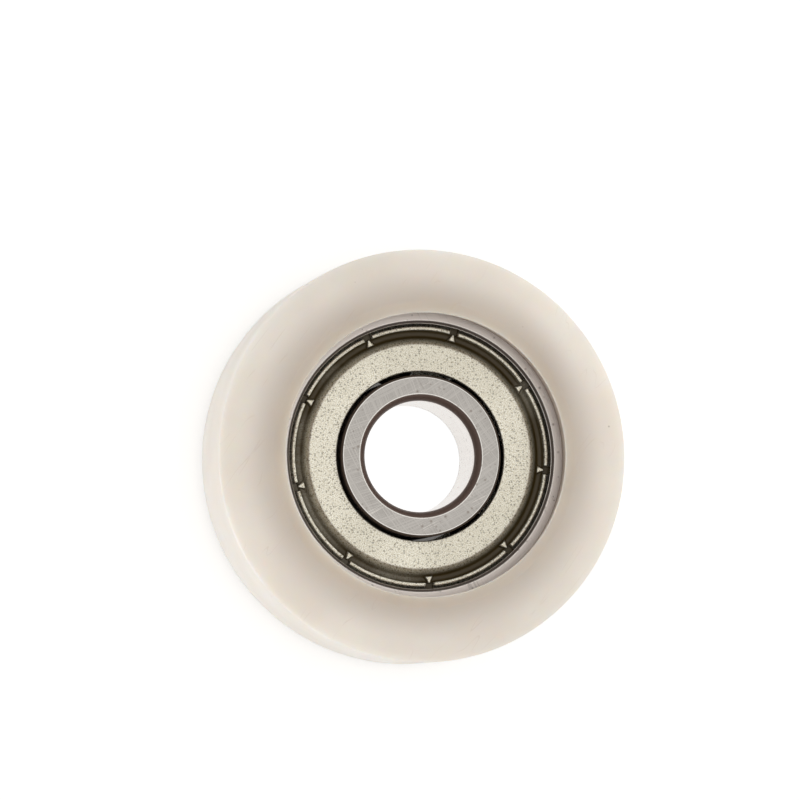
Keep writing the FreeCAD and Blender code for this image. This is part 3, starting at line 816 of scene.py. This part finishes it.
def crimp_shape(radius, height, angle):
    """Bends the sheet near a crimp: a slot through the lip, and a wedge-shaped fold inboard of it."""
    aside = abs(radius * angle)
    in_lip = smooth_step(*LIP_START, radius)
    if height > SLOT_FLOOR:
        slot = (1 - smooth_step(SLOT_HALF_WIDTH, SLOT_WALL_END, aside)) * in_lip
        dip = LIP_DIP * (1 - smooth_step(LIP_DIP_START, LIP_DIP_END, aside)) * in_lip * (1 - slot)
        height += (SLOT_FLOOR - height) * slot - dip
    on_valley = VALLEY_TOP - 0.02 < height < SHIELD_TOP - 0.1
    if on_valley and FOLD_ZONE[0] < radius < FOLD_ZONE[1]:
        half_width = FOLD_HALF_WIDTH - FOLD_NARROWING * smooth_step(FOLD_START, FOLD_END, radius)
        ridge = 1 - smooth_step(half_width * 0.5, half_width, aside)
        rise = smooth_step(*FOLD_RISE, radius) * (1 - smooth_step(*FOLD_FALL, radius))
        height += max(FOLD_TOP - height, 0) * ridge * rise
    return radius, height


def build_shield(name, material, tree, node, first_angle, flipped):
    """One sector of the pressing with its crimp, repeated round the axis."""
    half = math.pi / CRIMPS
    fine = math.radians(3.2)
    coarse_steps, fine_steps = 14, 30
    near = [-fine + 2 * fine * step / fine_steps for step in range(fine_steps + 1)]
    left = [-half + (half - fine) * step / coarse_steps for step in range(coarse_steps)]
    angles = left + near + [-angle for angle in reversed(left)]
    sector = swept_mesh(f"{name}_sector", shield_outline(), angles, closed=False, shape=crimp_shape)
    mesh = repeated_mesh(
        name, sector, tree, Count=CRIMPS, First_Angle=math.radians(first_angle),
        Join_Distance=JOIN_DISTANCE * MM, Material=material,
    )
    if flipped:
        mesh.transform(Matrix.Rotation(math.pi, 4, "X"))
    return add_piece(finish_mesh(mesh), material, "wheel", "shield_steel", node)


def build_rivets(material, tree):
    """One rivet with domed heads, repeated between the balls."""
    web, shank, head_radius, head_height = 0.3, 0.3, 0.5, 0.22
    dome_steps, segments = 6, 32
    dome_radius = (head_radius ** 2 + head_height ** 2) / (2 * head_height)
    centre = web + head_height - dome_radius
    reach = math.asin(head_radius / dome_radius)
    arc = [dome_radius * math.sin(reach * step / dome_steps) for step in range(dome_steps + 1)]
    dome = [(x, centre + math.sqrt(dome_radius ** 2 - x ** 2)) for x in arc]
    half_outline = dome + [(shank, web)]
    outline = half_outline + [(x, -y) for x, y in reversed(half_outline)]
    mesh = swept_mesh("one_rivet", outline, full_circle(segments), closed=True)
    mesh.transform(Matrix.Translation((PITCH_RADIUS * MM, 0, 0)))
    rivets = repeated_mesh(
        "cage_rivet_set", mesh, tree, Count=BALLS, First_Angle=math.pi / BALLS,
        Join_Distance=JOIN_DISTANCE * MM, Material=material,
    )
    return add_piece(finish_mesh(rivets), material, "cage", "rivet_steel", "cage_rivets")


def dress_node(node, material):
    """Gives a CAD node its material."""
    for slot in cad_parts[node].material_slots:
        slot.material = material


# Floor, lights and camera

def build_floor():
    """A pale floor just under the hub, which shows as white round the wheel and through its bore; its glow
    for camera, glossy and transmission rays is painted light in the bore and fades to a painted shadow
    towards the wheel.
    """
    reach, drop = 0.6, 0.05
    bore_edge, wheel_edge = (4.6, 5.6), (11.0, 15.5)
    height = -(HUB_END + drop) * MM
    corners = [(x * reach, y * reach, height) for x, y in ((-1, -1), (1, -1), (1, 1), (-1, 1))]
    mesh = bpy.data.meshes.new("floor")
    mesh.from_pydata(corners, [], [(0, 1, 2, 3)])
    material, tree, shader = new_material(
        "pale_floor", Roughness=0.7, Base_Color=linear(*FLOOR_PALE), Emission_Color=(1, 1, 1, 1),
    )
    radius = axis_radius(tree, object_place(tree))
    # Painted light: the glow lifts the floor in the bore's shadow to almost white. Painted shadow: the glow
    # is faint under the wheel and fades in just beyond its edge.
    bore_painted_light = add_step(tree, radius, *bore_edge, 0.95, 0.1)
    glow_and_painted_shadow = add_step(tree, radius, *wheel_edge, 0.0, 0.64)
    rays = tree.nodes.new("ShaderNodeLightPath").outputs
    seen = largest(tree, rays["Is Camera Ray"], rays["Is Glossy Ray"], rays["Is Transmission Ray"])
    glow = times(tree, seen, largest(tree, bore_painted_light, glow_and_painted_shadow))
    tree.links.new(glow, shader.inputs["Emission Strength"])
    mesh.materials.append(material)
    floor = bpy.data.objects.new("floor", mesh)
    bpy.context.scene.collection.objects.link(floor)


def add_area_light(name, place, size, power):
    """Adds a soft square light that faces the wheel."""
    lamp = bpy.data.lights.new(name, "AREA")
    lamp.shape = "SQUARE"
    lamp.size = size
    lamp.energy = power
    holder = bpy.data.objects.new(name, lamp)
    bpy.context.scene.collection.objects.link(holder)
    holder.location = place
    holder.rotation_euler = (-Vector(place)).to_track_quat("-Z", "Y").to_euler()


def build_world():
    """A soft room: a softbox overhead, dimmer round it, and bright walls, most of all on the right."""
    softbox_level, room_level, left_level, right_level = 0.92, 0.3, 0.9, 1.75
    softbox_edge, wall_top = (0.84, 0.93), (0.25, 0.6)
    world = bpy.data.worlds.new("soft_room")
    world.use_nodes = True
    tree = world.node_tree
    shader = tree.nodes["Background"]
    direction = tree.nodes.new("ShaderNodeTexCoord").outputs["Generated"]
    across, away, up = split_place(tree, direction)
    softbox = add_ramp(tree, up, *softbox_edge, 0.0, softbox_level)
    to_right = add_math(tree, "ADD", times(tree, across, 0.9), times(tree, away, 0.3))
    low_down = add_ramp(tree, up, *wall_top, 1.0, 0.0)
    walls = times(tree, low_down, add_ramp(tree, to_right, -0.9, 0.9, left_level, right_level))
    room = add_math(tree, "ADD", add_math(tree, "ADD", softbox, walls), room_level)
    camera_ray = tree.nodes.new("ShaderNodeLightPath").outputs["Is Camera Ray"]
    tree.links.new(largest(tree, room, camera_ray), shader.inputs["Strength"])
    shader.inputs["Color"].default_value = (1.0, 0.985, 0.96, 1)
    bpy.context.scene.world = world


def build_camera():
    """The photograph's view: tilted 11 degrees off the axis, from a third of a metre."""
    tilt, towards = math.radians(11.1), math.radians(20.5)
    centre_pixel = (412.4, 458.58)
    pixels_per_mm, distance, frame_width, sensor = 13.765, 340.0, 800, 36.0
    axis = Vector((math.sin(tilt) * math.cos(towards), math.sin(tilt) * math.sin(towards), math.cos(tilt)))
    down_tilt = Vector((
        math.cos(towards) * math.cos(tilt),
        math.sin(towards) * math.cos(tilt),
        -math.sin(tilt),
    ))
    level = Vector((-math.sin(towards), math.cos(towards), 0))
    part_x = math.cos(towards) * down_tilt - math.sin(towards) * level
    part_y = math.sin(towards) * down_tilt + math.cos(towards) * level
    turn = Matrix((part_x, part_y, axis))
    from_centre = Vector((
        (frame_width / 2 - centre_pixel[0]) / pixels_per_mm,
        (centre_pixel[1] - frame_width / 2) / pixels_per_mm,
        distance,
    ))
    camera = bpy.data.cameras.new("photo_view")
    camera.sensor_width = sensor
    camera.lens = pixels_per_mm * distance / frame_width * sensor
    camera.clip_start = 0.01
    holder = bpy.data.objects.new("photo_view", camera)
    bpy.context.scene.collection.objects.link(holder)
    holder.matrix_world = Matrix.Translation(turn @ from_centre * MM) @ turn.to_4x4()
    bpy.context.scene.camera = holder


def build_part():
    """Builds the pieces and dresses the nodes that keep their own shape."""
    groups = {
        "turning_marks": turning_marks_group(),
        "grinding_arcs": grinding_arcs_group(),
        "round_band": band_group(),
        "specks": speck_group(),
        "scratches": scratch_group(),
    }
    ring_steel = ring_material(groups)
    shield_steel = shield_material(groups)
    cage_steel = cage_material()
    ball_steel = ball_material()
    tree = repeat_round_tree()
    build_nylon_wheel(nylon_material(groups))
    build_outer_ring(ring_steel)
    build_inner_ring(ring_steel)
    build_shield(
        "front_shield_pressing", shield_steel, tree, "front_shield", FRONT_CRIMP_ANGLE, flipped=False,
    )
    build_shield("rear_shield_pressing", shield_steel, tree, "rear_shield", -REAR_CRIMP_ANGLE, flipped=True)
    build_rivets(rivet_material(), tree)
    for node in ("cage_front_half", "cage_rear_half"):
        dress_node(node, cage_steel)
    for number in range(1, BALLS + 1):
        dress_node(f"ball_{number}", ball_steel)


def build_studio():
    """Builds the floor, the lights, the room and the camera."""
    build_floor()
    add_area_light("right_light", place=(0.4, 0.18, 0.22), size=0.3, power=0.12)
    add_area_light("left_light", place=(-0.42, -0.2, 0.02), size=0.06, power=0.65)
    build_world()
    build_camera()
    bpy.context.scene.view_settings.view_transform = "Standard"


build_part()
build_studio()
